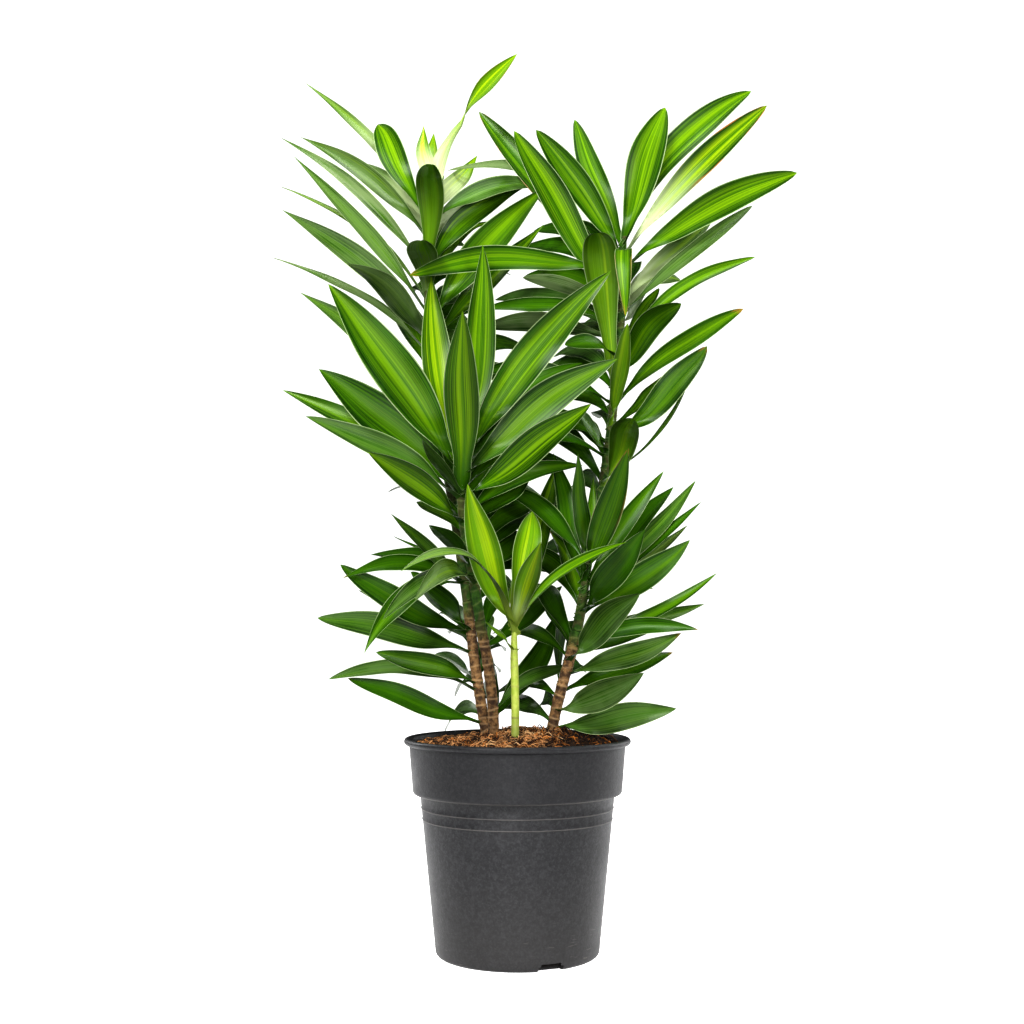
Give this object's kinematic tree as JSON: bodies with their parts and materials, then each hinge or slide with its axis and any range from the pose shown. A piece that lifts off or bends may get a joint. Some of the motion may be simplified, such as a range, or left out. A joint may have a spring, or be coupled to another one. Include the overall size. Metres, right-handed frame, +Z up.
{
  "type": "potted dracaena",
  "caption": "Bushy potted dracaena with green leaves striped in lime, on brown canes in a dark plastic nursery pot filled with coir.",
  "frame": {"origin": "centre of the pot's base, on the floor", "axes": "+Z up, -Y towards the side the picture shows, +X to the right of that view"},
  "size_m": [0.5186, 0.4359, 0.8724],
  "materials": {
    "pot_plastic": "moulded, satin matte, faintly scuffed",
    "coir": "loose brown coir fibre, rough",
    "bark": "brown cane with ring scars, matte; the leaves that grow from it are dark green",
    "leaf": "glossy leaf, dark green margins with lime stripes along its middle",
    "young_leaf": "glossy young leaf, yellow green with green margins"
  },
  "bodies": {
    "root": {"pot": "pot_plastic", "soil": "coir", "trunk_left_rear": "bark", "trunk_left_front": "bark", "trunk_right": "bark", "crown_left_tall": "leaf", "crown_left_front": "leaf", "crown_right_short": "leaf", "crown_right_tall": "leaf", "shoot_front": "young_leaf"}
  },
  "joints": []
}
